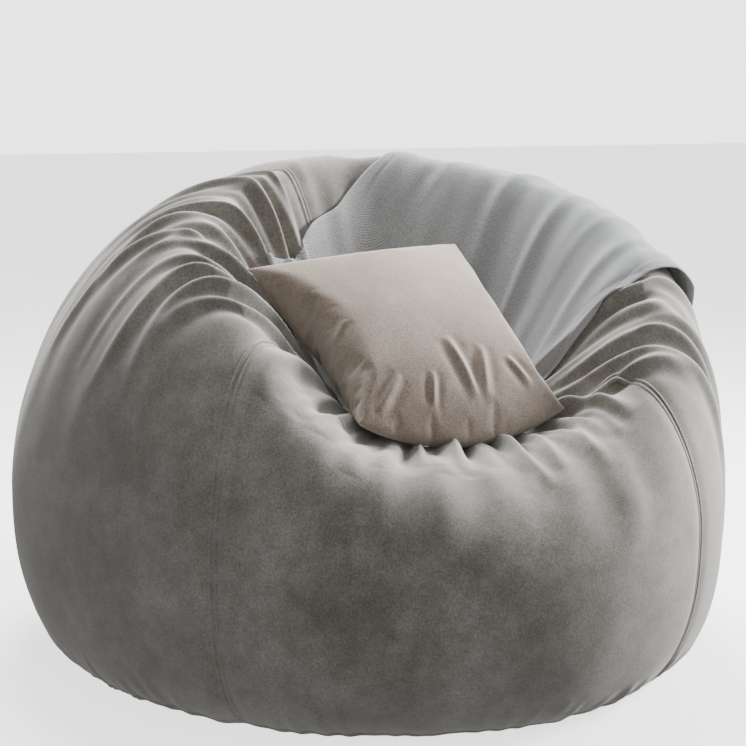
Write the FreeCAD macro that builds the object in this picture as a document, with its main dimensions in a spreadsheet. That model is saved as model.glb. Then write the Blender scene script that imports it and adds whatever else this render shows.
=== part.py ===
import FreeCAD, Part
import math
import os

# Bean bag chair: a velvet cover of four panels over a bead-filled liner, with a throw and a
# scatter cushion laid in the seat. Millimetres. +Z is up, the seat opens to the front (-Y), and
# the origin is on the floor under the middle of the whole object.

os.makedirs("parts", exist_ok=True)
doc = FreeCAD.newDocument("bean_bag_chair")
Vector = FreeCAD.Vector

# ---------------------------------------------------------------- driving dimensions
# Five values in a row belong to five directions round the seat: front, 45, 90 and 135 degrees
# from the front, and back.
DIRECTIONS = ["front", "front_side", "side", "back_side", "back"]
ROUND_THE_SEAT = {
    "belly_radius": [530, 528.5, 566, 661.5, 718],
    "belly_height": [262, 265.5, 273.5, 282, 285],
    "rim_radius": [346, 389, 316, 206, 211.5],
    "rim_height": [403, 537.5, 725, 787.5, 797.5],
}
DIMENSIONS = {
    "seat_axis_back": -93.4,       # y of the upright axis through the lowest point of the seat
    "seat_floor_height": 325,
    "seat_steepness": 1.09,
    "rim_lean_right": 10,          # how far the rim is pushed towards the right arm
    "lower_roundness": 2.46,       # exponents of the superellipse arcs
    "upper_roundness": 1.83,
    "base_radius": 437,
    "base_centre_back": -26,
    "front_left_seam": -51.6,      # directions of the four seams, degrees from the front
    "front_right_seam": 37.2,
    "back_right_seam": 130,
    "back_left_seam": -140,
    "crown_radius": 62,            # patch where the four panels meet at the seat's lowest point
    "seam_gap": 0.5,
    "cover_thickness": 2.0,
    "layer_gap": 1.0,
    "liner_thickness": 1.0,
    "base_thickness": 2.4,
    "liner_base_height": 9.5,
    "zip_length": 420,
    "zip_slot": 14,
    "zip_tape_width": 12,
    "zip_tape_thickness": 0.8,
    "zip_coil_size": 2.4,
    "zip_slider_length": 16,
    "zip_slider_width": 10,
    "zip_slider_height": 6,
    "zip_pull_length": 30,
    "zip_pull_width": 6,
    "zip_pull_thickness": 1.2,
    "liner_zip_back": 120,
    "liner_zip_length": 360,
    "throw_gap": 4.0,
    "throw_thickness": 3.0,
    "cushion_side": 366,
    "cushion_front_height": 66,
    "cushion_back_height": 70,
    "cushion_side_hollow": 0.06,   # how far each side is drawn in between the corners
    "cushion_skin": 1.4,
    "cushion_edge": 2.4,
    "label_width": 40,
    "label_height": 60,
    "label_thickness": 0.6,
}

sheet = doc.addObject("Spreadsheet::Sheet", "Dimensions")
all_sizes = dict(DIMENSIONS)
for quantity, values in ROUND_THE_SEAT.items():
    for direction, value in zip(DIRECTIONS, values):
        all_sizes[quantity + "_" + direction] = value
for row, (alias, value) in enumerate(all_sizes.items(), start=1):
    sheet.set("A%d" % row, alias)
    sheet.set("B%d" % row, str(value))
    sheet.setAlias("B%d" % row, alias)
doc.recompute()


def size(alias):
    return float(sheet.get(alias))


def around(quantity, angle):
    """Even cosine series through the quantity's five values, for a direction in radians."""
    values = [size(quantity + "_" + direction) for direction in DIRECTIONS]
    total = 0.0
    for order in range(5):
        share = 0.0
        for step, value in enumerate(values):
            end_weight = 0.5 if step in (0, 4) else 1.0
            share += end_weight * value * math.cos(order * step * math.pi / 4)
        end_weight = 0.5 if order in (0, 4) else 1.0
        total += 0.5 * end_weight * share * math.cos(order * angle)
    return total


# ---------------------------------------------------------------- the chair's outer surface
# A place on it is a direction round the seat axis (0 is the front, +90 degrees the right) and a
# station: 0 base seam, 1 belly, 2 rim, 3 lowest point of the seat.
# The cushion's corners press three dents in it: centre x and y, depth and reach.
DENTS = [(-200, -415, 52, 75), (172, -356, 34, 65), (-262, -125, 34, 70)]


def base_radius(angle):
    """Distance from the seat axis to the round base, whose centre lies further back."""
    shift = size("base_centre_back") - size("seat_axis_back")
    sideways = shift * math.sin(angle)
    return math.sqrt(size("base_radius") ** 2 - sideways ** 2) - shift * math.cos(angle)


def meridian(angle):
    """The profile in one direction, as a function from station to (radius, height)."""
    belly_r = around("belly_radius", angle)
    belly_z = around("belly_height", angle)
    rim_r = around("rim_radius", angle) + size("rim_lean_right") * math.sin(angle)
    rim_z = around("rim_height", angle)
    base_r = base_radius(angle)
    floor_z = size("seat_floor_height")
    lower = 2 / size("lower_roundness")
    upper = 2 / size("upper_roundness")
    steepness = size("seat_steepness")

    def profile(station):
        if station <= 1:
            turn = station * math.pi / 2
            return (base_r + (belly_r - base_r) * math.sin(turn) ** lower,
                    belly_z * (1 - max(math.cos(turn), 0) ** lower))
        if station <= 2:
            turn = (station - 1) * math.pi / 2
            return (rim_r + (belly_r - rim_r) * max(math.cos(turn), 0) ** upper,
                    belly_z + (rim_z - belly_z) * math.sin(turn) ** upper)
        inward = max(3 - station, 0)
        return (rim_r * inward,
                floor_z + (rim_z - floor_z) * (1 - math.cos(math.pi * inward ** steepness)) / 2)

    return profile


def on_chair(angle, stations, depth):
    """Points down one meridian, moved inwards from the outer surface by depth."""
    profile = meridian(angle)
    points = []
    for station in stations:
        before = profile(max(station - 0.01, 0))
        after = profile(min(station + 0.01, 3))
        along_r = after[0] - before[0]
        along_z = after[1] - before[1]
        length = math.hypot(along_r, along_z)
        radius, height = profile(station)
        x = radius * math.sin(angle)
        y = size("seat_axis_back") - radius * math.cos(angle)
        if station > 1:
            for dent_x, dent_y, dent_depth, reach in DENTS:
                distance = ((x - dent_x) ** 2 + (y - dent_y) ** 2) / (2 * reach ** 2)
                height -= dent_depth * math.exp(-distance) * min(1, station - 1)
        radius -= depth * along_z / length
        height += depth * along_r / length
        x = radius * math.sin(angle)
        y = size("seat_axis_back") - radius * math.cos(angle)
        points.append(Vector(x, y, height))
    return points


def clamped_knots(count):
    """Knots and multiplicities of a cubic spline with count poles that reaches both ends."""
    spans = count - 3
    knots = [float(i) for i in range(spans + 1)]
    return knots, [4] + [1] * (spans - 1) + [4]


def narrow_face(row, other):
    """The cut edge of a cloth, straight from one border to the other."""
    along, along_mults = clamped_knots(len(row))
    surface = Part.BSplineSurface()
    surface.buildFromPolesMultsKnots([row, other], [2, 2], along_mults, [0.0, 1.0], along,
                                     False, False, 1, 3)
    return surface.toShape()


def spline_face(rows):
    across, across_mults = clamped_knots(len(rows))
    along, along_mults = clamped_knots(len(rows[0]))
    surface = Part.BSplineSurface()
    surface.buildFromPolesMultsKnots(rows, across_mults, along_mults, across, along,
                                     False, False, 3, 3)
    return surface.toShape()


def sewn_solid(faces):
    shell = Part.Shell(faces)
    shell.sewShape()
    solid = Part.makeSolid(shell)
    if solid.Volume < 0:
        solid.reverse()
    return solid


def cloth_solid(outer, inner):
    """A closed piece of cloth between two grids of poles, with its four narrow edges."""
    borders = [(outer[0], inner[0]), (outer[-1], inner[-1]),
               ([row[0] for row in outer], [row[0] for row in inner]),
               ([row[-1] for row in outer], [row[-1] for row in inner])]
    faces = [spline_face(outer), spline_face(inner)]
    for edge, other in borders:
        faces.append(narrow_face(edge, other))
    return sewn_solid(faces)


def steps(first, last, count):
    return [first + (last - first) * i / (count - 1) for i in range(count)]


def add_shape(label, shape, home=None):
    """A sub-part whose shape no primitive or sketch gives."""
    feature = doc.addObject("Part::Feature", label)
    feature.Label = label
    feature.Shape = shape
    feature.Placement = home or FreeCAD.Placement()
    return feature


parts = []

# ---------------------------------------------------------------- cover and liner panels
SEAMS = {"front": ("front_left_seam", "front_right_seam"),
         "right": ("front_right_seam", "back_right_seam"),
         "back": ("back_right_seam", "back_left_seam"),
         "left": ("back_left_seam", "front_left_seam")}


def station_at_height(profile, height):
    """The station on the lower arc at which the outer surface reaches a height."""
    low, high = 0.0, 1.0
    for _ in range(40):
        middle = (low + high) / 2
        if profile(middle)[1] < height:
            low = middle
        else:
            high = middle
    return high


def meridian_stations(profile, bottom, crown):
    """Stations from a height above the floor to a distance from the seat axis."""
    start = station_at_height(profile, bottom)
    end = 3 - crown / profile(2)[0]
    lower = [station for station in steps(0, 1, 27) if station > start + 0.02]
    return [start] + lower + steps(1, 2, 22)[1:-1] + steps(2, end, 18)


def gore(side, depth, thickness, bottom):
    """One panel from the base seam over the rim to the crown patch."""
    first = size(SEAMS[side][0])
    last = size(SEAMS[side][1])
    if last < first:
        last += 360
    half_gap = math.degrees(size("seam_gap") / 2 / size("crown_radius"))
    outer, inner = [], []
    for degrees in steps(first + half_gap, last - half_gap, 4 + int((last - first) / 4)):
        angle = math.radians(degrees)
        profile = meridian(angle)
        stations = meridian_stations(profile, bottom, size("crown_radius") + size("seam_gap"))
        outer.append(on_chair(angle, stations, depth))
        inner.append(on_chair(angle, stations, depth + thickness))
    return cloth_solid(outer, inner)


cover_bottom = size("base_thickness") + 0.6
liner_depth = size("cover_thickness") + size("layer_gap")
liner_bottom = size("liner_base_height") + size("liner_thickness") + 1.0
for side in SEAMS:
    cover_panel = gore(side, 0.0, size("cover_thickness"), cover_bottom)
    parts.append(add_shape("cover_%s_panel" % side, cover_panel))
for side in SEAMS:
    liner_panel = gore(side, liner_depth, size("liner_thickness"), liner_bottom)
    parts.append(add_shape("liner_%s_panel" % side, liner_panel))


def crown_patch(depth, thickness):
    """The round patch at the lowest point of the seat, cut from a square that follows the seat."""
    reach = size("crown_radius") * 1.1
    outer, inner = [], []
    for x in steps(-reach, reach, 12):
        outer.append([])
        inner.append([])
        for y in steps(-reach, reach, 12):
            angle = math.atan2(x, -y)
            station = 3 - math.hypot(x, y) / meridian(angle)(2)[0]
            outer[-1] += on_chair(angle, [station], depth)
            inner[-1] += on_chair(angle, [station], depth + thickness)
    centre = Vector(0, size("seat_axis_back"), 0)
    cutter = Part.makeCylinder(size("crown_radius"), 1000, centre)
    return cloth_solid(outer, inner).common(cutter).Solids[0]


parts.append(add_shape("cover_crown_patch", crown_patch(0.0, size("cover_thickness"))))
parts.append(add_shape("liner_crown_patch", crown_patch(liner_depth, size("liner_thickness"))))

# ---------------------------------------------------------------- bead fill
# The polystyrene beads, as one body that fills the liner. A channel in its underside leaves room
# for the liner's zip.


def spline_edge(poles):
    knots, mults = clamped_knots(len(poles))
    curve = Part.BSplineCurve()
    curve.buildFromPolesMultsKnots(poles, mults, knots, False, 3)
    return curve.toShape()


def fill_body(depth, bottom, crown):
    faces, lower_edges, upper_edges = [], [], []
    for quarter in range(4):
        rows = []
        for degrees in steps(90 * quarter, 90 * quarter + 90, 24):
            angle = math.radians(degrees)
            profile = meridian(angle)
            row = on_chair(angle, meridian_stations(profile, bottom - depth, crown), depth)
            row[0].z = bottom
            row[-1].x = crown * math.sin(angle)
            row[-1].y = size("seat_axis_back") - crown * math.cos(angle)
            row[-1].z = size("seat_floor_height") - depth
            rows.append(row)
        faces.append(spline_face(rows))
        lower_edges.append(spline_edge([row[0] for row in rows]))
        upper_edges.append(spline_edge([row[-1] for row in rows]))
    faces.append(Part.Face(Part.Wire(lower_edges)))
    faces.append(Part.Face(Part.Wire(upper_edges)))
    return sewn_solid(faces)


fill_depth = liner_depth + size("liner_thickness") + 1.5 * size("layer_gap")
fill_bottom = size("liner_base_height") + size("liner_thickness") + 1.5
channel_length = size("liner_zip_length") + 20
channel_width = 32
channel = Part.makeBox(channel_length, channel_width, 4.5, Vector(
    -channel_length / 2, size("liner_zip_back") - channel_width / 2, fill_bottom - 1))
beads = fill_body(fill_depth, fill_bottom, 15).cut(channel).Solids[0]
parts.append(add_shape("bead_fill", beads))


# ---------------------------------------------------------------- flat bases
# Each base is a disc in two halves, with a slot along the split for its zip.
def bind(feature, **cells):
    """Ties properties to sheet formulas; Base__x stands for Placement.Base.x."""
    for name, formula in cells.items():
        target = "Placement." + name.replace("__", ".") if "__" in name else name
        for alias in sorted(all_sizes, key=len, reverse=True):
            formula = formula.replace("<" + alias + ">", "Dimensions." + alias)
        feature.setExpression(target, formula)
    return feature


def primitive(kind, label, **cells):
    return bind(doc.addObject("Part::" + kind, label), **cells)


def cut_from(label, body, tool):
    result = doc.addObject("Part::Cut", label)
    result.Label = label
    result.Base = body
    result.Tool = tool
    return result


def half_disc(label, is_rear, radius, height, thickness, split, slot_length):
    """Half of a flat base, on one side of the split, with its share of the zip's slot."""
    disc = primitive("Cylinder", label + "_disc", Radius=radius, Height=thickness,
                     Base__y="<base_centre_back>", Base__z=height)
    near_side = split + " + <seam_gap> / 2"
    if not is_rear:
        near_side = split + " - <seam_gap> / 2 - 2.2 * <base_radius>"
    keep = primitive("Box", label + "_keep", Length="2.2 * <base_radius>",
                     Width="2.2 * <base_radius>", Height="10", Base__x="-1.1 * <base_radius>",
                     Base__y=near_side, Base__z=height + " - 2")
    half = doc.addObject("Part::Common", label + "_uncut")
    half.Base = disc
    half.Tool = keep
    slot = primitive("Box", label + "_slot", Length=slot_length, Width="<zip_slot>", Height="10",
                     Base__x="-(" + slot_length + ") / 2", Base__y=split + " - <zip_slot> / 2",
                     Base__z=height + " - 2")
    parts.append(cut_from(label, half, slot))


for name, is_rear in (("rear", True), ("front", False)):
    half_disc("cover_base_%s_half" % name, is_rear, "<base_radius>", "0", "<base_thickness>",
              "<base_centre_back>", "<zip_length>")
    half_disc("liner_base_%s_half" % name, is_rear, "<base_radius> + 36", "<liner_base_height>",
              "<liner_thickness>", "<liner_zip_back>", "<liner_zip_length>")


# ---------------------------------------------------------------- zips
# A coil zip lies in each base's slot: two tapes, two coils and the end stops. The coils stand
# 1.8 mm apart, so that the slider's post runs between them.
ZIPS = {"cover": ("<zip_length>", "<base_centre_back>", "3.7"),
        "liner": ("<liner_zip_length>", "<liner_zip_back>", "12.2")}
for owner, (length, line, middle) in ZIPS.items():
    for name, side in (("rear", 1), ("front", -1)):
        tape = primitive("Box", "%s_zip_tape_%s" % (owner, name), Length=length + " + 16",
                         Width="<zip_tape_width>", Height="<zip_tape_thickness>",
                         Base__x="-(" + length + " + 16) / 2",
                         Base__y=line + (" + 3.1" if side > 0 else " - 3.1 - <zip_tape_width>"),
                         Base__z=middle + " - <zip_tape_thickness> / 2")
        coil = primitive("Cylinder", "%s_zip_coil_%s" % (owner, name),
                         Radius="<zip_coil_size> / 2 - 0.2",
                         Height=length + " - 12", Base__x="-(" + length + " - 12) / 2",
                         Base__y=line + " %s 1.9" % ("+" if side > 0 else "-"), Base__z=middle)
        coil.Placement.Rotation = FreeCAD.Rotation(Vector(0, 1, 0), 90)
        parts += [tape, coil]
    ends = []
    for place in (" - 1.5 - (%s) / 2 + 4" % length, " - 1.5 + (%s) / 2 - 4" % length):
        ends.append(primitive("Box", owner + "_stop", Length="3", Width="5.6", Height="2.4",
                              Base__x="0" + place, Base__y=line + " - 2.8", Base__z=middle + " - 1.2"))
    stops = doc.addObject("Part::Compound", owner + "_zip_stops")
    stops.Links = ends
    parts.append(stops)

doc.recompute()


def slider_shape(lower, upper, with_lugs):
    """Two plates joined by a post between the coils, about its own centre; lugs hold the pull."""
    length = size("zip_slider_length")
    width = size("zip_slider_width")
    plate = 0.9
    top = Part.makeBox(length, width, plate, Vector(-length / 2, -width / 2, upper))
    bottom = Part.makeBox(length, width, plate, Vector(-length / 2, -width / 2, lower))
    post = Part.makeBox(6, 1, upper - lower, Vector(-3, -0.5, lower))
    body = top.fuse([bottom, post])
    if with_lugs:
        for side in (-1, 1):
            lug = Part.makeBox(5, 0.9, 1.5, Vector(length / 2 - 0.5, side * 4.05 - 0.45, lower))
            body = body.fuse(lug)
        pin_end = Vector(length / 2 + 2.6, -4.1, lower + 0.75)
        body = body.fuse(Part.makeCylinder(0.45, 8.2, pin_end, Vector(0, 1, 0)))
    return body.removeSplitter()


cover_slider_x = -size("zip_length") / 2 + 20
liner_slider_x = -size("liner_zip_length") / 2 + 20
level = FreeCAD.Rotation()
cover_slider_home = Vector(cover_slider_x, size("base_centre_back"), 0)
liner_slider_home = Vector(liner_slider_x, size("liner_zip_back"), 0)
parts.append(add_shape("cover_zip_slider", slider_shape(0.7, 5.1, True),
                       FreeCAD.Placement(cover_slider_home, level)))
parts.append(add_shape("liner_zip_slider", slider_shape(8.2, 13.5, False),
                       FreeCAD.Placement(liner_slider_home, level)))

# The pull hangs on the slider's pin: a flat tongue with an eye at one end and a slot near the tip.
eye_x = size("zip_slider_length") / 2 + 2.6
eye_z = 0.7 + 0.75
pull_width = size("zip_pull_width")
thickness = size("zip_pull_thickness")
across = Vector(0, 1, 0)
tongue = Part.makeBox(size("zip_pull_length"), pull_width, thickness,
                      Vector(0, -pull_width / 2, -thickness / 2))
eye = Part.makeCylinder(thickness / 2, pull_width, Vector(0, -pull_width / 2, 0), across)
eye_hole = Part.makeCylinder(0.5, pull_width + 2, Vector(0, -pull_width / 2 - 1, 0), across)
finger_slot = Part.makeBox(10, 2.4, 4, Vector(size("zip_pull_length") - 14, -1.2, -2))
pull = tongue.fuse(eye).cut(eye_hole).cut(finger_slot).removeSplitter()
pull_home = Vector(cover_slider_x + eye_x, size("base_centre_back"), eye_z)
parts.append(add_shape("cover_zip_pull", pull, FreeCAD.Placement(pull_home, level)))

# ---------------------------------------------------------------- throw
# A plain woven throw laid over the right of the chair. Its four corners are given in plan: the
# inner two lie in the seat, the outer two on the right side just above the belly.
THROW_INNER_LEFT = (-215, -70)
THROW_INNER_RIGHT = (105, -250)
THROW_OUTER_LEFT = (478, 300)
THROW_OUTER_RIGHT = (515, -262)


def chair_place(x, y):
    """Direction and station of the outer surface under a point given in plan."""
    angle = math.atan2(x, size("seat_axis_back") - y)
    radius = math.hypot(x, y - size("seat_axis_back"))
    belly_r = around("belly_radius", angle)
    rim_r = meridian(angle)(2)[0]
    if radius < rim_r:
        return angle, 3 - radius / rim_r
    share = min((radius - rim_r) / (belly_r - rim_r), 1)
    return angle, 1 + math.acos(share ** (size("upper_roundness") / 2)) * 2 / math.pi


def plan_point(across, along):
    """Bilinear place in the throw's plan outline; along is drawn in towards the steep outer end."""
    along = math.sin(along * math.pi / 2) ** 0.9
    left = [a + (b - a) * along for a, b in zip(THROW_INNER_LEFT, THROW_OUTER_LEFT)]
    right = [a + (b - a) * along for a, b in zip(THROW_INNER_RIGHT, THROW_OUTER_RIGHT)]
    return [a + (b - a) * across for a, b in zip(left, right)]


def throw_grid(rise):
    rows = []
    for across in steps(0, 1, 26):
        rows.append([])
        for along in steps(0, 1, 50):
            angle, station = chair_place(*plan_point(across, along))
            rows[-1] += on_chair(angle, [station], -rise)
    return rows


throw_top = throw_grid(size("throw_gap") + size("throw_thickness"))
throw_underside = throw_grid(size("throw_gap"))
parts.append(add_shape("throw_blanket", cloth_solid(throw_top, throw_underside)))

# ---------------------------------------------------------------- scatter cushion
# A square cushion with drawn-in sides. It is made flat about its own centre and then laid in the
# seat: two cover panels, the pad's two ticking panels, and the fibre fill.
CUSHION_ACROSS = Vector(0.98653, 0.16314, 0.01168)
CUSHION_UPWARDS = Vector(-0.14092, 0.81156, 0.56702)
CUSHION_FACING = Vector(0.08303, -0.56103, 0.82362)
CUSHION_PLACE = FreeCAD.Placement(Vector(-42, -238, 553), FreeCAD.Rotation(
    CUSHION_ACROSS, CUSHION_UPWARDS, CUSHION_FACING))


def cushion_grid(face, inset):
    """Poles of the front (+1) or back (-1) of the cushion, moved inwards by inset."""
    half = size("cushion_side") / 2 - inset * 1.5
    crown = size("cushion_front_height" if face > 0 else "cushion_back_height") - inset
    edge = size("cushion_edge") / 2 + size("seam_gap") / 4 - 0.25 * inset
    rows = []
    for u in steps(-1, 1, 15):
        rows.append([])
        for v in steps(-1, 1, 15):
            x = half * u * (1 - size("cushion_side_hollow") * (1 - v * v))
            y = half * v * (1 - size("cushion_side_hollow") * (1 - u * u))
            bulge = ((1 - u * u) * (1 - v * v)) ** 0.55
            rows[-1].append(Vector(x, y, face * (edge * 0.5 + crown * bulge)))
    return rows


skin = size("cushion_skin")
for name, face in (("front", 1), ("back", -1)):
    parts.append(add_shape("cushion_%s_panel" % name, cloth_solid(
        cushion_grid(face, 0), cushion_grid(face, skin)), CUSHION_PLACE))
for name, face in (("front", 1), ("back", -1)):
    parts.append(add_shape("cushion_pad_%s_panel" % name, cloth_solid(
        cushion_grid(face, skin + 0.5), cushion_grid(face, skin + 1.1)), CUSHION_PLACE))
parts.append(add_shape("cushion_fibre_fill", cloth_solid(
    cushion_grid(1, skin + 1.6), cushion_grid(-1, skin + 1.6)), CUSHION_PLACE))

# ---------------------------------------------------------------- care label
# A blank woven tab at the back, above the base seam.
label_angle = 172


def label_grid(rise):
    half_width = math.degrees(size("label_width") / 2 / size("belly_radius_back"))
    rows = []
    for degrees in steps(label_angle - half_width, label_angle + half_width, 4):
        angle = math.radians(degrees)
        profile = meridian(angle)
        first = station_at_height(profile, 12)
        last = station_at_height(profile, 12 + size("label_height"))
        rows.append(on_chair(angle, steps(first, last, 6), -rise))
    return rows


parts.append(add_shape("care_label", cloth_solid(
    label_grid(0.4 + size("label_thickness")), label_grid(0.4))))

# ---------------------------------------------------------------- checks and export
doc.recompute()
for thing in doc.Objects:
    if "Invalid" in thing.State or "Error" in thing.State:
        raise RuntimeError("failed: " + thing.Name)
for part in parts:
    part.Label = part.Name
    if part.Shape.isNull() or not part.Shape.isValid():
        raise RuntimeError("bad shape: " + part.Name)
for part in parts:
    part.Shape.exportStep("parts/%s.step" % part.Label)
    print(part.Label, len(part.Shape.Solids), round(part.Shape.Volume))
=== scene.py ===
import bpy
import math
import random
import numpy as np
from mathutils import Matrix, Vector


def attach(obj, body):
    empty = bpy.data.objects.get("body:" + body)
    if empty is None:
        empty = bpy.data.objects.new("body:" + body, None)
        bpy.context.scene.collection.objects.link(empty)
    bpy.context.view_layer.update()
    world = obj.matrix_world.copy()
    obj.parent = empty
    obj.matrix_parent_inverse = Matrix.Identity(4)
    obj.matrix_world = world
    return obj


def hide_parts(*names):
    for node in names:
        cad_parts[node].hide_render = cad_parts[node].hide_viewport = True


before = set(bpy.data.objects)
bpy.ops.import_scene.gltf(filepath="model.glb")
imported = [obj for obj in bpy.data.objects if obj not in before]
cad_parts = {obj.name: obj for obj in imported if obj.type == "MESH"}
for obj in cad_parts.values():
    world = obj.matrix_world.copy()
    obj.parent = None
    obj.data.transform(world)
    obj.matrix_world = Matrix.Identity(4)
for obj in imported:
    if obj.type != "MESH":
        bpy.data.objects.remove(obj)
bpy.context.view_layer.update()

bpy.ops.object.select_all(action="DESELECT")

# ---------------------------------------------------------------- camera, floor and lights
# A free-standing chair on a pale studio floor, seen from its front left. A strong soft light
# stands at its right, one hangs above and behind it, and a weak one fills in from the front.
# The floor glows evenly and throws no light back on the chair.
look_at = Vector((0.0199, 0.0321, 0.4414))
azimuth = math.radians(-22.96)
elevation = math.radians(8.98)
distance = 3.128
backwards = Vector((math.sin(azimuth) * math.cos(elevation),
                    -math.cos(azimuth) * math.cos(elevation), math.sin(elevation)))
bpy.ops.object.camera_add(location=look_at + backwards * distance)
camera = bpy.context.object
camera.rotation_euler = backwards.to_track_quat("Z", "Y").to_euler()
camera.data.sensor_width = 36
camera.data.lens = 90.3
bpy.context.scene.camera = camera

bpy.ops.mesh.primitive_plane_add(size=40, location=(0, 0, -0.0005))
floor = bpy.context.object
floor.name = "studio_floor"
floor_material = bpy.data.materials.new("studio_floor")
floor_material.use_nodes = True
floor_shader = floor_material.node_tree.nodes["Principled BSDF"]
floor_shader.inputs["Base Color"].default_value = (0.80, 0.80, 0.80, 1)
floor_shader.inputs["Roughness"].default_value = 0.9
floor_shader.inputs["Emission Color"].default_value = (1, 1, 1, 1)
floor_shader.inputs["Emission Strength"].default_value = 2.0
floor.data.materials.append(floor_material)
floor.visible_diffuse = False
floor.visible_glossy = False

studio = bpy.data.worlds.new("studio")
bpy.context.scene.world = studio
studio.use_nodes = True
studio_nodes = studio.node_tree.nodes
studio_light = studio_nodes["Background"]
studio_light.inputs["Color"].default_value = (1, 1, 1, 1)
studio_light.inputs["Strength"].default_value = 0.34
seen_directly = studio_nodes.new("ShaderNodeLightPath")
backdrop = studio_nodes.new("ShaderNodeBackground")
backdrop.inputs["Strength"].default_value = 4.0
choice = studio_nodes.new("ShaderNodeMixShader")
studio_links = studio.node_tree.links
studio_links.new(seen_directly.outputs["Is Camera Ray"], choice.inputs[0])
studio_links.new(studio_light.outputs[0], choice.inputs[1])
studio_links.new(backdrop.outputs[0], choice.inputs[2])
studio_links.new(choice.outputs[0], studio_nodes["World Output"].inputs["Surface"])


def soft_light(name, place, energy, width):
    bpy.ops.object.light_add(type="AREA", location=place)
    light = bpy.context.object
    light.name = name
    light.data.energy = energy
    light.data.size = width
    light.rotation_euler = (Vector(place) - Vector((0, 0, 0.4))).to_track_quat("Z", "Y").to_euler()


soft_light("key", (3.05, -0.5, 1.4), 300, 1.3)
soft_light("top", (0.25, 1.2, 3.0), 225, 1.5)
soft_light("fill", (-1.2, -3.2, 1.9), 20, 2.0)



# ---------------------------------------------------------------- velvet
# Short-pile velvet: the pile lies in blotches a hand wide where it was stroked, has a fine grain,
# and shines at grazing angles, through the shader's sheen and through a painted sheen that lightens
# the base colour there. The nap group gives the blotches and the grain to every velvet.
def math_node(tree, operation, first, second):
    node = tree.nodes.new("ShaderNodeMath")
    node.operation = operation
    for socket, value in zip(node.inputs, (first, second)):
        if isinstance(value, (int, float)):
            socket.default_value = value
        else:
            tree.links.new(value, socket)
    return node.outputs[0]


def noise(tree, vector, scale, detail, roughness=0.55):
    node = tree.nodes.new("ShaderNodeTexNoise")
    node.inputs["Scale"].default_value = scale
    node.inputs["Detail"].default_value = detail
    node.inputs["Roughness"].default_value = roughness
    tree.links.new(vector, node.inputs["Vector"])
    return node.outputs["Fac"]


nap = bpy.data.node_groups.new("velvet_nap", "ShaderNodeTree")
nap.interface.new_socket("Vector", in_out="INPUT", socket_type="NodeSocketVector")
nap.interface.new_socket("Blotch", in_out="OUTPUT", socket_type="NodeSocketFloat")
nap.interface.new_socket("Grain", in_out="OUTPUT", socket_type="NodeSocketFloat")
nap_in = nap.nodes.new("NodeGroupInput")
nap_out = nap.nodes.new("NodeGroupOutput")
place = nap_in.outputs["Vector"]
wide = noise(nap, place, 7, 4, 0.62)
close = noise(nap, place, 26, 5, 0.7)
blotch = math_node(nap, "ADD", math_node(nap, "MULTIPLY", wide, 0.62),
                   math_node(nap, "MULTIPLY", close, 0.38))
nap.links.new(blotch, nap_out.inputs["Blotch"])
grain = math_node(nap, "ADD", math_node(nap, "MULTIPLY", noise(nap, place, 330, 3, 0.6), 0.65),
                  math_node(nap, "MULTIPLY", noise(nap, place, 900, 2, 0.6), 0.35))
nap.links.new(grain, nap_out.inputs["Grain"])


def ramp(tree, value, stops):
    node = tree.nodes.new("ShaderNodeValToRGB")
    elements = node.color_ramp.elements
    while len(elements) < len(stops):
        elements.new(0.5)
    for element, (position, colour) in zip(elements, stops):
        element.position = position
        element.color = (*colour, 1)
    tree.links.new(value, node.inputs["Fac"])
    return node.outputs["Color"]


def mix_colours(tree, share, first, second, mode="MIX"):
    node = tree.nodes.new("ShaderNodeMix")
    node.data_type = "RGBA"
    node.blend_type = mode
    sockets = (node.inputs["Factor"], node.inputs[6], node.inputs[7])
    for socket, value in zip(sockets, (share, first, second)):
        if isinstance(value, (int, float)):
            socket.default_value = value
        elif isinstance(value, tuple):
            socket.default_value = (*value, 1)
        else:
            tree.links.new(value, socket)
    return node.outputs[2]


def velvet(name, deep, middle, stroked, shine):
    material = bpy.data.materials.new(name)
    material.use_nodes = True
    tree = material.node_tree
    shader = tree.nodes["Principled BSDF"]
    coordinates = tree.nodes.new("ShaderNodeTexCoord")
    pile = tree.nodes.new("ShaderNodeGroup")
    pile.node_tree = nap
    tree.links.new(coordinates.outputs["Object"], pile.inputs["Vector"])
    colour = ramp(tree, pile.outputs["Blotch"], [(0.34, deep), (0.5, middle), (0.66, stroked)])
    speck = ramp(tree, pile.outputs["Grain"], [(0.36, (0.66, 0.66, 0.66)), (0.62, (1.22, 1.22, 1.22))])
    colour = mix_colours(tree, 1.0, colour, speck, "MULTIPLY")
    # Painted sheen: the base colour is mixed toward the shine colour as the surface turns edge-on to the
    # view.
    edge = tree.nodes.new("ShaderNodeLayerWeight")
    edge.inputs["Blend"].default_value = 0.28
    colour = mix_colours(tree, math_node(tree, "MULTIPLY", edge.outputs["Facing"], 0.75), colour, shine)
    tree.links.new(colour, shader.inputs["Base Color"])
    shader.inputs["Roughness"].default_value = 0.82
    shader.inputs["Sheen Weight"].default_value = 0.55
    shader.inputs["Sheen Roughness"].default_value = 0.3
    shader.inputs["Sheen Tint"].default_value = (*shine, 1)
    shader.inputs["Specular IOR Level"].default_value = 0.2
    height = math_node(tree, "ADD", math_node(tree, "MULTIPLY", pile.outputs["Grain"], 0.7),
                       math_node(tree, "MULTIPLY", pile.outputs["Blotch"], 1.6))
    bump = tree.nodes.new("ShaderNodeBump")
    bump.inputs["Strength"].default_value = 0.35
    bump.inputs["Distance"].default_value = 0.0022
    tree.links.new(height, bump.inputs["Height"])
    tree.links.new(bump.outputs["Normal"], shader.inputs["Normal"])
    return material


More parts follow.
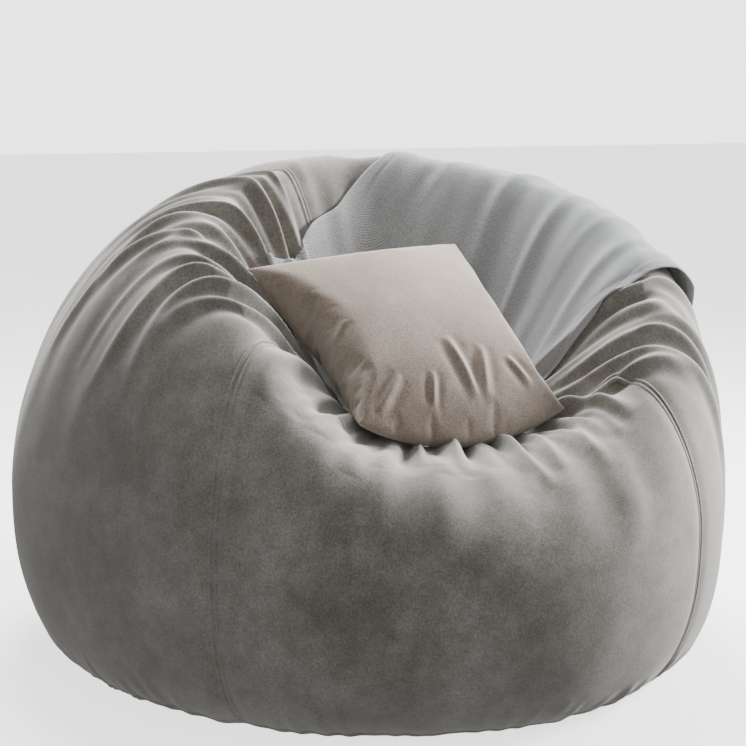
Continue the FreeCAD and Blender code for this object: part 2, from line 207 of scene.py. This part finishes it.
# ---------------------------------------------------------------- the chair's filled shape
# The cover stands at the shape that the beads press it to. A place on it is a direction round the
# seat (0 the front, +90 degrees the right) and a station: 0 base, 1 belly, 2 rim, 3 seat bottom.
seat_axis = -0.0934
seat_floor = 0.325
seat_steepness = 1.09
lower_roundness = 2.46
upper_roundness = 1.83
base_centre = -0.026
base_radius = 0.437
seams = {"front_left": -51.6, "front_right": 37.2, "back_right": 130.0, "back_left": -140.0}
dents = [(-0.200, -0.415, 0.052, 0.075), (0.172, -0.356, 0.034, 0.065), (-0.262, -0.125, 0.034, 0.070)]


def around(values, direction):
    """Even cosine series through values at 0, 45, 90, 135 and 180 degrees from the front."""
    total = 0
    for order in range(5):
        share = sum((0.5 if step in (0, 4) else 1) * value * math.cos(order * step * math.pi / 4)
                    for step, value in enumerate(values))
        total = total + 0.5 * (0.5 if order in (0, 4) else 1) * share * np.cos(order * direction)
    return total


def outline(direction):
    """Radii and heights of base, belly and rim in one direction."""
    base_shift = base_centre - seat_axis
    sideways = base_shift * np.sin(direction)
    base_r = np.sqrt(base_radius ** 2 - sideways ** 2) - base_shift * np.cos(direction)
    belly_r = around((0.530, 0.5285, 0.566, 0.6615, 0.718), direction)
    belly_z = around((0.262, 0.2655, 0.2735, 0.282, 0.285), direction)
    rim_r = around((0.346, 0.389, 0.316, 0.206, 0.2115), direction) + 0.010 * np.sin(direction)
    rim_z = around((0.403, 0.5375, 0.725, 0.7875, 0.7975), direction)
    return base_r, belly_r, belly_z, rim_r, rim_z


def chair_points(direction, station):
    base_r, belly_r, belly_z, rim_r, rim_z = outline(direction)
    lower = np.clip(station, 0, 1) * math.pi / 2
    upper = np.clip(station - 1, 0, 1) * math.pi / 2
    inward = np.clip(3 - station, 0, 1)
    sin_lower = np.sin(lower) ** (2 / lower_roundness)
    cos_lower = np.maximum(np.cos(lower), 0) ** (2 / lower_roundness)
    sin_upper = np.sin(upper) ** (2 / upper_roundness)
    cos_upper = np.maximum(np.cos(upper), 0) ** (2 / upper_roundness)
    climb = (1 - np.cos(math.pi * inward ** seat_steepness)) / 2
    radius = np.where(station < 1, base_r + (belly_r - base_r) * sin_lower,
                      np.where(station < 2, rim_r + (belly_r - rim_r) * cos_upper, rim_r * inward))
    height = np.where(station < 1, belly_z * (1 - cos_lower),
                      np.where(station < 2, belly_z + (rim_z - belly_z) * sin_upper,
                               seat_floor + (rim_z - seat_floor) * climb))
    x = radius * np.sin(direction)
    y = seat_axis - radius * np.cos(direction)
    for dent_x, dent_y, depth, reach in dents:
        away = ((x - dent_x) ** 2 + (y - dent_y) ** 2) / (2 * reach ** 2)
        height = height - depth * np.exp(-away) * np.clip(station - 1, 0, 1)
    return np.stack([x, y, height], -1)


def normals_at(direction, station):
    small = 0.004
    across = chair_points(direction + small, station) - chair_points(direction - small, station)
    along = (chair_points(direction, np.minimum(station + small, 3))
             - chair_points(direction, np.maximum(station - small, 0)))
    normal = np.cross(across, along)
    length = np.linalg.norm(normal, axis=-1, keepdims=True)
    return normal / np.maximum(length, 1e-9)


# Folds: where the cover is drawn into the seat it gathers into thin ridges that run over the rim.
# Each group: directions from-to, how many, stations from-to, height and width of a ridge, curl.
fold_groups = [
    ("left rim", -131, -57, 13, 2.66, 1.45, 0.0100, 0.0062, 0.34),
    ("left rim fine", -129, -60, 14, 2.45, 1.55, 0.0055, 0.0048, 0.30),
    ("left shoulder", -125, -60, 8, 2.05, 1.15, 0.0042, 0.0140, 0.25),
    ("front lip", -48, 33, 15, 2.36, 1.62, 0.0120, 0.0072, 0.10),
    ("front lip fine", -46, 34, 16, 2.25, 1.72, 0.0060, 0.0048, 0.12),
    ("lip drop", -44, 30, 9, 1.95, 1.10, 0.0045, 0.0130, 0.08),
    ("right rim", 39, 63, 6, 2.72, 1.10, 0.0095, 0.0066, -0.28),
    ("right rim fine", 40, 63, 5, 2.50, 1.50, 0.0060, 0.0050, -0.24),
    ("back", -178, -146, 4, 2.30, 1.30, 0.0050, 0.0180, 0.05),
    ("hidden right", 66, 172, 9, 2.30, 1.40, 0.0030, 0.0240, -0.10),
    ("base gathers", -176, 178, 66, 0.50, 0.03, 0.0022, 0.0075, 0.02),
]


def make_folds():
    chance = random.Random(11)
    folds = []
    for _, first, last, count, start, end, height, width, curl in fold_groups:
        gap = (last - first) / count
        for number in range(count):
            folds.append((math.radians(first + gap * (number + 0.5 + chance.uniform(-0.34, 0.34))),
                          start + chance.uniform(-0.10, 0.10),
                          end + chance.uniform(-0.16, 0.16) * (start - end),
                          height * chance.uniform(0.45, 1.2),
                          width * chance.uniform(0.75, 1.35),
                          curl * chance.uniform(0.4, 1.5),
                          chance.uniform(-1, 1)))
    return folds


folds = make_folds()


def wrapped(angle):
    return (angle + math.pi) % (2 * math.pi) - math.pi


def seam_valley(direction, station, radius):
    fall = np.zeros_like(radius)
    for degrees in seams.values():
        across = wrapped(direction - math.radians(degrees)) * radius
        fall -= 0.0042 * np.exp(-(across / 0.016) ** 2) * np.clip((2.95 - station) * 6, 0, 1)
    return fall


def relief(direction, station):
    """How far the cover stands proud of its plain shape."""
    points = chair_points(direction, station)
    radius = np.hypot(points[..., 0], points[..., 1] - seat_axis)
    proud = (0.0032 * np.sin(3 * direction + 1.3) * np.sin(2.1 * station)
             + 0.0024 * np.sin(7 * direction + 2.6 * station) * np.sin(1.7 * station + 0.6)
             + 0.0012 * np.sin(17 * direction - 3.1 * station + 0.8) * np.sin(3.3 * station))
    proud *= np.clip(station * 2.5, 0, 1) * np.clip((3 - station) * 2.5, 0, 1)
    for middle, start, end, height, width, curl, sway in folds:
        travel = (start - station) / (start - end)
        line = middle + curl * (station - 1.9) + 0.035 * sway * np.sin(5 * station + sway * 3)
        across = wrapped(direction - line) * radius
        inside = (travel > 0) & (travel < 1)
        swell = np.where(inside, np.sin(np.clip(travel, 0, 1) ** 0.75 * math.pi) ** 0.8, 0)
        spread = width * (1 + 0.9 * np.clip(travel, 0, 1))
        ridge = np.exp(-(across / spread) ** 2)
        trough = np.exp(-((np.abs(across) - 2.1 * spread) / (1.3 * spread)) ** 2)
        proud += height * swell * (ridge - 0.42 * trough)
    return proud + seam_valley(direction, station, radius)


def mesh_object(name, points, faces):
    mesh = bpy.data.meshes.new(name)
    mesh.from_pydata(points, [], faces)
    mesh.validate()
    mesh.update()
    mesh.polygons.foreach_set("use_smooth", [True] * len(mesh.polygons))
    piece = bpy.data.objects.new(name, mesh)
    bpy.context.collection.objects.link(piece)
    return piece


def bag_mesh(name, columns, rows, move):
    """A closed bag: rings from the base up over the rim to the seat bottom, both ends closed."""
    direction = np.linspace(-math.pi, math.pi, columns, endpoint=False)
    lower_rows = int(rows * 0.25)
    upper_rows = int(rows * 0.43)
    station = np.concatenate([np.linspace(0.10, 1, lower_rows, endpoint=False),
                              np.linspace(1, 2, upper_rows, endpoint=False),
                              np.linspace(2, 2.985, rows - lower_rows - upper_rows)])
    grid_direction, grid_station = np.meshgrid(direction, station, indexing="ij")
    outward = normals_at(grid_direction, grid_station) * move(grid_direction, grid_station)[..., None]
    points = chair_points(grid_direction, grid_station) + outward
    points[..., 2] = np.maximum(points[..., 2], 0.0032)
    count = len(station)
    flat = points.reshape(-1, 3).tolist()
    index = np.arange(columns * count).reshape(columns, count)
    after = np.roll(index, -1, axis=0)
    quads = np.stack([index[:, :-1], after[:, :-1], after[:, 1:], index[:, 1:]], -1).reshape(-1, 4).tolist()
    bottom = len(flat)
    flat.append((0.0, base_centre, float(points[:, 0, 2].min())))
    flat.append(tuple(points[:, -1].mean(axis=0)))
    closing = [(bottom, int(b), int(a)) for a, b in zip(index[:, 0], after[:, 0])]
    closing += [(bottom + 1, int(a), int(b)) for a, b in zip(index[:, -1], after[:, -1])]
    return mesh_object(name, flat, quads + closing)


# ---------------------------------------------------------------- cover
# Four velvet panels sewn into one closed skin, shown as the beads fill it; it is drawn into folds
# where it turns over the rim, and pulled in along the seams.
cover = bag_mesh("cover_velvet", 760, 300, relief)
cover_velvet = velvet("grey_velvet", (0.130, 0.121, 0.102), (0.205, 0.195, 0.172), (0.300, 0.289, 0.264),
                      (0.58, 0.57, 0.545))
cover.data.materials.append(cover_velvet)
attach(cover, "chair")
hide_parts("cover_front_panel", "cover_right_panel", "cover_back_panel", "cover_left_panel",
            "cover_crown_patch")

# ---------------------------------------------------------------- seams
# Each panel seam is felled and topstitched: two fine rolls of cloth with a dark line of painted shade
# between them.
# The strip lies on the cover, and its outer edges run out under the surface.
half_profile = [(0.0008, -0.0012), (0.0022, 0.0010), (0.0040, 0.0018),
                (0.0058, 0.0016), (0.0075, 0.0004), (0.0105, -0.0020)]
seam_profile = [(-across, rise) for across, rise in reversed(half_profile)] + half_profile


def strip_along(name, centre, side, normal, profile, closed):
    """A ribbon whose cross-section is profile, swept along centre."""
    count = len(centre)
    width = len(profile)
    points = []
    for across, rise in profile:
        points.append(centre + side * across + normal * rise)
    points = np.stack(points, 1).reshape(-1, 3)
    last = count if closed else count - 1
    faces = []
    for step in range(last):
        other = (step + 1) % count
        for column in range(width - 1):
            faces.append((step * width + column, other * width + column,
                          other * width + column + 1, step * width + column + 1))
    piece = mesh_object(name, points.tolist(), faces)
    uv = piece.data.uv_layers.new(name="along_seam")
    lengths = np.concatenate([[0], np.cumsum(np.linalg.norm(np.diff(centre, axis=0), axis=1))])
    corners = np.zeros(len(piece.data.loops), dtype=np.int32)
    piece.data.loops.foreach_get("vertex_index", corners)
    across_values = np.array([across for across, _ in profile])
    values = np.stack([across_values[corners % width], lengths[corners // width]], -1)
    uv.data.foreach_set("uv", values.ravel())
    return piece


def unit(vectors):
    return vectors / np.maximum(np.linalg.norm(vectors, axis=-1, keepdims=True), 1e-9)


def stitched_velvet():
    """The cover's velvet with painted shade as a dark line along the needle line, and small dark thread
    stitches beside it.
    """
    material = cover_velvet.copy()
    material.name = "grey_velvet_seam"
    tree = material.node_tree
    shader = tree.nodes["Principled BSDF"]
    uv = tree.nodes.new("ShaderNodeUVMap")
    uv.uv_map = "along_seam"
    parts = tree.nodes.new("ShaderNodeSeparateXYZ")
    tree.links.new(uv.outputs["UV"], parts.inputs["Vector"])
    aside = math_node(tree, "ABSOLUTE", parts.outputs["X"], 0)
    groove_shade = math_node(tree, "LESS_THAN", aside, 0.0013)
    beat = math_node(tree, "SINE", math_node(tree, "MULTIPLY", parts.outputs["Y"], 2 * math.pi / 0.0042), 0)
    off_stitch = math_node(tree, "ABSOLUTE", math_node(tree, "SUBTRACT", aside, 0.0040), 0)
    near = math_node(tree, "LESS_THAN", off_stitch, 0.0006)
    stitch = math_node(tree, "MULTIPLY", near, math_node(tree, "GREATER_THAN", beat, -0.35))
    base = shader.inputs["Base Color"].links[0].from_socket
    # Painted shade: the groove is mixed almost to black; the stitches are the thread's own darker colour.
    colour = mix_colours(tree, math_node(tree, "MULTIPLY", groove_shade, 0.75), base, (0.05, 0.047, 0.042))
    colour = mix_colours(tree, math_node(tree, "MULTIPLY", stitch, 0.35), colour, (0.12, 0.115, 0.105))
    tree.links.new(colour, shader.inputs["Base Color"])
    return material


seam_velvet = stitched_velvet()
for name, degrees in seams.items():
    station = np.linspace(0.12, 2.93, 520)
    direction = np.full_like(station, math.radians(degrees))
    normal = normals_at(direction, station)
    centre = chair_points(direction, station) + normal * relief(direction, station)[:, None]
    run = unit(np.gradient(centre, axis=0))
    side = unit(np.cross(run, normal))
    seam = strip_along("seam_" + name, centre, side, unit(np.cross(side, run)), seam_profile, False)
    seam.data.flip_normals()
    seam.data.materials.append(seam_velvet)
    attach(seam, "chair")

direction = np.linspace(-math.pi, math.pi, 720, endpoint=False)
station = np.full_like(direction, 0.215)
normal = normals_at(direction, station)
centre = chair_points(direction, station) + normal * relief(direction, station)[:, None]
run = unit(np.roll(centre, -1, axis=0) - np.roll(centre, 1, axis=0))
side = unit(np.cross(run, normal))
base_seam = strip_along("seam_base", centre, side, unit(np.cross(side, run)), seam_profile, True)
base_seam.data.flip_normals()
base_seam.data.materials.append(seam_velvet)
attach(base_seam, "chair")

# ---------------------------------------------------------------- liner and beads
# The liner is the cover's pattern in plain polyester, a little smaller; the beads fill it. Both
# stay inside the cover and are only seen when it is taken off.
def plain_cloth(name, colour, thread):
    """A plain weave: threads over and under at the given pitch, with slight soiling."""
    material = bpy.data.materials.new(name)
    material.use_nodes = True
    tree = material.node_tree
    shader = tree.nodes["Principled BSDF"]
    coordinates = tree.nodes.new("ShaderNodeTexCoord")
    place = coordinates.outputs["Object"]
    tone = noise(tree, place, 9, 4)
    weave = noise(tree, place, 1 / thread, 2)
    dull = tuple(channel * 0.86 for channel in colour)
    tree.links.new(ramp(tree, tone, [(0.35, dull), (0.65, colour)]), shader.inputs["Base Color"])
    bump = tree.nodes.new("ShaderNodeBump")
    bump.inputs["Strength"].default_value = 0.4
    bump.inputs["Distance"].default_value = 0.0006
    tree.links.new(weave, bump.inputs["Height"])
    tree.links.new(bump.outputs["Normal"], shader.inputs["Normal"])
    shader.inputs["Roughness"].default_value = 0.85
    return material


def inset_by(depth):
    return lambda direction, station: np.full_like(direction, -depth)


liner = bag_mesh("liner_bag", 180, 90, inset_by(0.017))
liner.data.materials.append(plain_cloth("liner_polyester", (0.74, 0.73, 0.70), 0.0012))
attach(liner, "chair")
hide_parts("liner_front_panel", "liner_right_panel", "liner_back_panel", "liner_left_panel",
            "liner_crown_patch")

beads = bag_mesh("bead_mass", 160, 80, inset_by(0.021))
for vertex in beads.data.vertices:
    vertex.co.z = max(vertex.co.z, 0.018)
beads.data.materials.append(plain_cloth("polystyrene_beads", (0.90, 0.90, 0.89), 0.0035))
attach(beads, "chair")
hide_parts("bead_fill")

# ---------------------------------------------------------------- throw
# One fine twill throw, hemmed all round, laid from the seat over the right of the chair and down
# its side. It follows the chair, with soft folds of its own along its length.
def chair_place(x, y):
    """Direction and station of the chair's surface under a point in plan."""
    direction = np.arctan2(x, seat_axis - y)
    radius = np.hypot(x, y - seat_axis)
    _, belly_r, _, rim_r, _ = outline(direction)
    share = np.clip((radius - rim_r) / (belly_r - rim_r), 0, 1)
    return direction, np.where(radius < rim_r, 3 - radius / rim_r,
                               1 + np.arccos(share ** (upper_roundness / 2)) * 2 / math.pi)


def throw_surface(across, along, rise):
    """Points of the throw; across runs from its left to its right edge, along from seat to side."""
    reach = np.sin(along * math.pi / 2) ** 0.9
    bow = 0.034 * np.sin(np.clip((reach - 0.10) / 0.36, 0, 1) * math.pi) * (1 - across)
    left_x = -0.215 + 0.693 * reach
    left_y = -0.070 + 0.370 * reach + bow
    right_x = 0.105 + 0.410 * reach
    right_y = -0.250 + 0.080 * reach ** 3 - 0.046 * np.sin(np.clip(along * 1.3, 0, 1) * math.pi)
    x = left_x + (right_x - left_x) * across
    y = left_y + (right_y - left_y) * across
    x = x + 0.046 * np.sin(across * math.pi) * np.clip((reach - 0.4) / 0.6, 0, 1) ** 1.5
    direction, station = chair_place(x, y)
    normal = normals_at(direction, station)
    radius = np.hypot(x, y - seat_axis)
    lift = relief(direction, station) - seam_valley(direction, station, radius)
    return chair_points(direction, station) + normal * (np.maximum(lift, -0.002) + rise)[..., None]


def throw_folds(across, along):
    """Soft folds down the length of the throw, and a hem of doubled cloth round its edge."""
    drift = across + 0.05 * np.sin(3.1 * along + 0.7) + 0.02 * np.sin(9 * along)
    turns = 2 * math.pi * drift
    soft = (0.0022 * np.sin(3.2 * turns + 0.4)
            + 0.0018 * np.sin(6.7 * turns + 1.9) * np.sin(5 * along + 0.5)
            + 0.0012 * np.sin(11.3 * turns + 4 * along))
    crease = 0.0
    for middle, first, last, height in ((0.22, 0.10, 0.62, 0.0050), (0.41, 0.18, 0.55, 0.0042),
                                        (0.58, 0.05, 0.50, 0.0050), (0.74, 0.20, 0.66, 0.0040),
                                        (0.33, 0.35, 0.80, 0.0036), (0.87, 0.15, 0.60, 0.0034)):
        inside = np.clip((along - first) / (last - first), 0, 1)
        aside = (drift - middle - 0.05 * inside) / 0.022
        crease = crease + height * np.sin(inside * math.pi) * np.exp(-aside ** 2)
    edge = np.minimum(np.minimum(across, 1 - across) * 0.52, np.minimum(along, 1 - along) * 1.25)
    hem = 0.0011 * (edge < 0.014) - 0.0007 * np.exp(-((edge - 0.0155) / 0.0016) ** 2)
    near_right_edge = np.clip(1 - (1 - across) / 0.10, 0, 1)
    past_rim = np.clip((along - 0.38) / 0.12, 0, 1) * np.clip((0.78 - along) / 0.15, 0, 1)
    corner_lift = 0.016 * near_right_edge * past_rim
    return 0.0062 + soft * np.clip(edge / 0.03, 0.35, 1) + crease + hem + corner_lift


def make_active(piece):
    bpy.ops.object.select_all(action="DESELECT")
    bpy.context.view_layer.objects.active = piece
    piece.select_set(True)


throw_across = 200
throw_along = 340
across, along = np.meshgrid(np.linspace(0, 1, throw_across), np.linspace(0, 1, throw_along), indexing="ij")
top = throw_surface(across, along, throw_folds(across, along))
index = np.arange(throw_across * throw_along).reshape(throw_across, throw_along)
quads = np.stack([index[:-1, :-1], index[1:, :-1], index[1:, 1:], index[:-1, 1:]], -1).reshape(-1, 4)
throw = mesh_object("throw_blanket_cloth", top.reshape(-1, 3).tolist(), quads.tolist())
uv = throw.data.uv_layers.new(name="cloth")
corners = np.zeros(len(throw.data.loops), dtype=np.int32)
throw.data.loops.foreach_get("vertex_index", corners)
width_steps = np.linalg.norm(np.diff(top, axis=0), axis=-1)
length_steps = np.linalg.norm(np.diff(top, axis=1), axis=-1)
throw_width = float(width_steps.sum(axis=0).mean())
throw_length = float(length_steps.sum(axis=1).mean())
cloth_u = (across * throw_width).ravel()[corners]
cloth_v = (along * throw_length).ravel()[corners]
uv.data.foreach_set("uv", np.stack([cloth_u, cloth_v], -1).ravel())
make_active(throw)
if throw.data.polygons[len(throw.data.polygons) // 2].normal.z < 0:
    throw.data.flip_normals()
thicken = throw.modifiers.new("cloth_thickness", "SOLIDIFY")
thicken.thickness = 0.0022
thicken.offset = -1
bpy.ops.object.modifier_apply(modifier=thicken.name)


def twill(name, deep, light):
    """Fine twill: diagonal ribs 1.6 mm apart in mixed yarn."""
    material = bpy.data.materials.new(name)
    material.use_nodes = True
    tree = material.node_tree
    shader = tree.nodes["Principled BSDF"]
    uv = tree.nodes.new("ShaderNodeUVMap")
    uv.uv_map = "cloth"
    place = uv.outputs["UV"]
    turned = tree.nodes.new("ShaderNodeMapping")
    turned.inputs["Rotation"].default_value = (0, 0, math.radians(38))
    tree.links.new(place, turned.inputs["Vector"])
    ribs = tree.nodes.new("ShaderNodeTexWave")
    ribs.inputs["Scale"].default_value = 1 / 0.0016 / 3.2
    ribs.inputs["Distortion"].default_value = 3.5
    ribs.inputs["Detail"].default_value = 2
    tree.links.new(turned.outputs["Vector"], ribs.inputs["Vector"])
    yarn = noise(tree, place, 520, 3, 0.65)
    cloud = noise(tree, place, 9, 4, 0.6)
    colour = ramp(tree, math_node(tree, "ADD", math_node(tree, "MULTIPLY", yarn, 0.82),
                                  math_node(tree, "MULTIPLY", ribs.outputs["Fac"], 0.18)),
                  [(0.34, deep), (0.66, light)])
    shade = ramp(tree, cloud, [(0.3, (0.88, 0.88, 0.88)), (0.7, (1.06, 1.06, 1.06))])
    colour = mix_colours(tree, 1.0, colour, shade, "MULTIPLY")
    tree.links.new(colour, shader.inputs["Base Color"])
    shader.inputs["Roughness"].default_value = 0.86
    shader.inputs["Sheen Weight"].default_value = 0.25
    shader.inputs["Sheen Roughness"].default_value = 0.4
    bump = tree.nodes.new("ShaderNodeBump")
    bump.inputs["Strength"].default_value = 0.5
    bump.inputs["Distance"].default_value = 0.0009
    tree.links.new(math_node(tree, "ADD", yarn, math_node(tree, "MULTIPLY", ribs.outputs["Fac"], 0.8)),
                   bump.inputs["Height"])
    tree.links.new(bump.outputs["Normal"], shader.inputs["Normal"])
    return material


throw.data.materials.append(twill("blue_grey_twill", (0.235, 0.243, 0.245), (0.500, 0.512, 0.515)))
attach(throw, "throw")
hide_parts("throw_blanket")

# ---------------------------------------------------------------- scatter cushion
# A knife-edged velvet cushion, sewn flat from two squares with drawn-in sides and filled with
# fibre, so that it swells, puckers at its edges and points at its corners.
cushion_axes = Matrix(((0.98653, -0.14092, 0.08303),
                       (0.16314, 0.81156, -0.56103),
                       (0.01168, 0.56702, 0.82362)))
cushion_middle = Vector((-0.042, -0.238, 0.553))
cushion_half = 0.194


def cushion_side(face, count):
    u, v = np.meshgrid(np.linspace(-1, 1, count), np.linspace(-1, 1, count), indexing="ij")
    x = cushion_half * u * (1 + 0.07 * v) * (1 - 0.07 * (1 - v * v))
    lower = np.clip(-v, 0, 1) ** 2 * (1 - u * u)
    y = cushion_half * v * (1 - 0.07 * (1 - u * u)) - 0.043 * lower + 0.012 * (u * v - 1)
    bulge = ((1 - u * u) * (1 - v * v)) ** 0.5
    return np.stack([x, y, face * 0.056 * bulge - 0.029 * lower], -1)


count = 110
front = cushion_side(1, count)
back = cushion_side(-1, count)
index = np.arange(count * count).reshape(count, count)
inner = np.ones((count, count), dtype=bool)
inner[0, :] = inner[-1, :] = inner[:, 0] = inner[:, -1] = False
back_index = index.copy()
back_index[inner] = count * count + np.arange(inner.sum())
points = np.concatenate([front.reshape(-1, 3), back[inner]])
front_quads = np.stack([index[:-1, :-1], index[1:, :-1], index[1:, 1:], index[:-1, 1:]], -1)
back_quads = np.stack([back_index[:-1, :-1], back_index[:-1, 1:],
                       back_index[1:, 1:], back_index[1:, :-1]], -1)
quads = np.concatenate([front_quads.reshape(-1, 4), back_quads.reshape(-1, 4)])
cushion = mesh_object("scatter_cushion", points.tolist(), quads.tolist())

# The filling is blown in: the flat case swells under pressure and its sides pucker.
rest = np.array([vertex.co[:] for vertex in cushion.data.vertices])
make_active(cushion)
swelling = cushion.modifiers.new("swelling", "CLOTH")
swelling.settings.quality = 7
swelling.settings.mass = 0.25
swelling.settings.tension_stiffness = 22
swelling.settings.compression_stiffness = 12
swelling.settings.shear_stiffness = 8
swelling.settings.bending_stiffness = 6.0
swelling.settings.use_pressure = True
swelling.settings.uniform_pressure_force = 5.5
swelling.settings.effector_weights.gravity = 0
swelling.settings.shrink_min = 0.015
for step in range(1, 21):
    bpy.context.scene.frame_set(step)
bpy.ops.object.modifier_apply(modifier=swelling.name)
bpy.context.scene.frame_set(1)
moved = np.array([vertex.co[:] for vertex in cushion.data.vertices]) - rest
length = np.linalg.norm(moved, axis=1, keepdims=True)
moved *= np.minimum(1, 0.030 / np.maximum(length, 1e-9))
points = rest + moved

# Pinches: the cloth is caught in a few thin folds where the cushion is pressed into the seat.
# Each: start and end as shares of the half side, height and width.
cushion_pinches = [
    (0.10, -0.94, 0.00, -0.46, 0.0052, 0.0066),
    (0.18, -0.94, 0.28, -0.56, 0.0052, 0.0066),
    (-0.30, -0.95, -0.22, -0.72, 0.0050, 0.0045),
    (-0.93, -0.30, -0.70, -0.12, 0.0050, 0.0040),
    (-0.95, -0.50, -0.72, -0.42, 0.0055, 0.0045),
    (-0.93, -0.02, -0.78, 0.16, 0.0040, 0.0040),
    (0.35, 0.93, 0.62, 0.80, 0.0040, 0.0050),
    (0.92, 0.25, 0.80, 0.05, 0.0040, 0.0045),
    (-0.75, -0.92, -0.50, -0.70, 0.0050, 0.0060),
    (0.62, -0.90, 0.48, -0.66, 0.0045, 0.0050),
]
for first_u, first_v, last_u, last_v, height, width in cushion_pinches:
    start = np.array([first_u, first_v]) * cushion_half
    run = np.array([last_u, last_v]) * cushion_half - start
    share = ((points[:, :2] - start) @ run) / (run @ run)
    nearest = start + np.clip(share, 0, 1)[:, None] * run
    away = np.linalg.norm(points[:, :2] - nearest, axis=1)
    strength = np.sin(np.clip(share, 0, 1) * math.pi) ** 0.6 * (points[:, 2] > 0)
    points[:, 2] += height * strength * (np.exp(-(away / width) ** 2)
                                         - 0.55 * np.exp(-((away - 2.2 * width) / (1.3 * width)) ** 2))
for vertex, local in zip(cushion.data.vertices, points):
    vertex.co = cushion_middle + cushion_axes @ Vector(local)
make_active(cushion)
smoother = cushion.modifiers.new("smoother", "SUBSURF")
smoother.levels = smoother.render_levels = 1
bpy.ops.object.modifier_apply(modifier=smoother.name)
cushion.data.materials.append(velvet("taupe_velvet", (0.190, 0.148, 0.119), (0.262, 0.210, 0.172),
                                     (0.335, 0.277, 0.233), (0.66, 0.58, 0.52)))
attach(cushion, "cushion")
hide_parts("cushion_front_panel", "cushion_back_panel", "cushion_pad_front_panel",
            "cushion_pad_back_panel", "cushion_fibre_fill")

# ---------------------------------------------------------------- base, zips and label
# The flat base is the same velvet in a darker copy with less shine. Each zip is a woven tape with a nylon
# coil, and a plated slider; the label is blank satin.
base_velvet = velvet("base_velvet", (0.130, 0.124, 0.111), (0.175, 0.168, 0.153), (0.225, 0.218, 0.202),
                     (0.50, 0.49, 0.47))


def plated_metal(name):
    material = bpy.data.materials.new(name)
    material.use_nodes = True
    tree = material.node_tree
    shader = tree.nodes["Principled BSDF"]
    coordinates = tree.nodes.new("ShaderNodeTexCoord")
    wear = noise(tree, coordinates.outputs["Object"], 400, 4)
    tree.links.new(ramp(tree, wear, [(0.3, (0.34, 0.34, 0.33)), (0.7, (0.56, 0.56, 0.54))]),
                   shader.inputs["Base Color"])
    tree.links.new(ramp(tree, wear, [(0.3, (0.42, 0.42, 0.42)), (0.7, (0.24, 0.24, 0.24))]),
                   shader.inputs["Roughness"])
    shader.inputs["Metallic"].default_value = 1
    return material


tape_weave = plain_cloth("zip_tape_weave", (0.20, 0.195, 0.185), 0.0007)
coil_nylon = plain_cloth("zip_coil_nylon", (0.16, 0.155, 0.148), 0.0011)
zinc = plated_metal("plated_zinc")
satin = plain_cloth("label_satin", (0.78, 0.78, 0.75), 0.0005)
liner_base_cloth = plain_cloth("liner_base_polyester", (0.70, 0.69, 0.66), 0.0012)
for node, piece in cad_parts.items():
    finish = None
    if node.startswith("cover_base"):
        finish = base_velvet
    elif node.startswith("liner_base"):
        finish = liner_base_cloth
    elif "tape" in node:
        finish = tape_weave
    elif "coil" in node or "stops" in node:
        finish = coil_nylon
    elif "slider" in node or "pull" in node:
        finish = zinc
    elif node == "care_label":
        finish = satin
    if finish:
        piece.data.materials.clear()
        piece.data.materials.append(finish)
